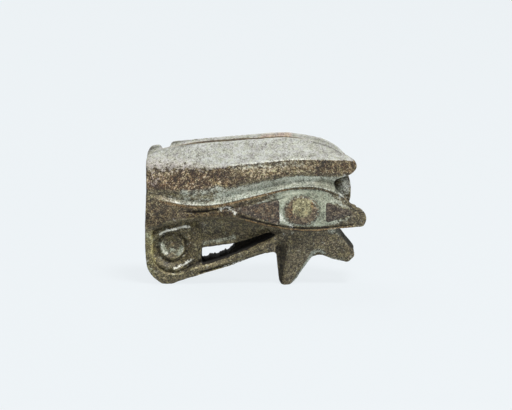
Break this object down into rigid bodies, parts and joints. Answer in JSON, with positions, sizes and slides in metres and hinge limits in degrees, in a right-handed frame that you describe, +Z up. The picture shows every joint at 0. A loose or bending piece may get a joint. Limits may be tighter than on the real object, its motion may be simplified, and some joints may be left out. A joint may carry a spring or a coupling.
{
  "type": "wedjat eye amulet",
  "caption": "Wedjat eye amulet carved alike on both faces, with brow, eye, curl and cheek marks, pierced lengthwise for a cord.",
  "frame": {"origin": "on the resting plane, under the middle of the amulet's box", "axes": "+X along the eye toward its outer tip, +Z up, front face toward -Y"},
  "size_m": [0.022, 0.0074, 0.0148],
  "materials": {
    "glazed_body": "worn matt glaze, grey-green in the hollows and brown on the high parts",
    "core_body": "worn, fine grained",
    "pupil_paste": "yellow-green, dull",
    "corner_paste": "dark brown, dull"
  },
  "bodies": {
    "root": {"core": "core_body", "front_face": "glazed_body", "front_pupil": "pupil_paste", "front_inner_corner": "corner_paste", "front_outer_corner": "corner_paste", "back_face": "glazed_body", "back_pupil": "pupil_paste", "back_inner_corner": "corner_paste", "back_outer_corner": "corner_paste"}
  },
  "joints": []
}
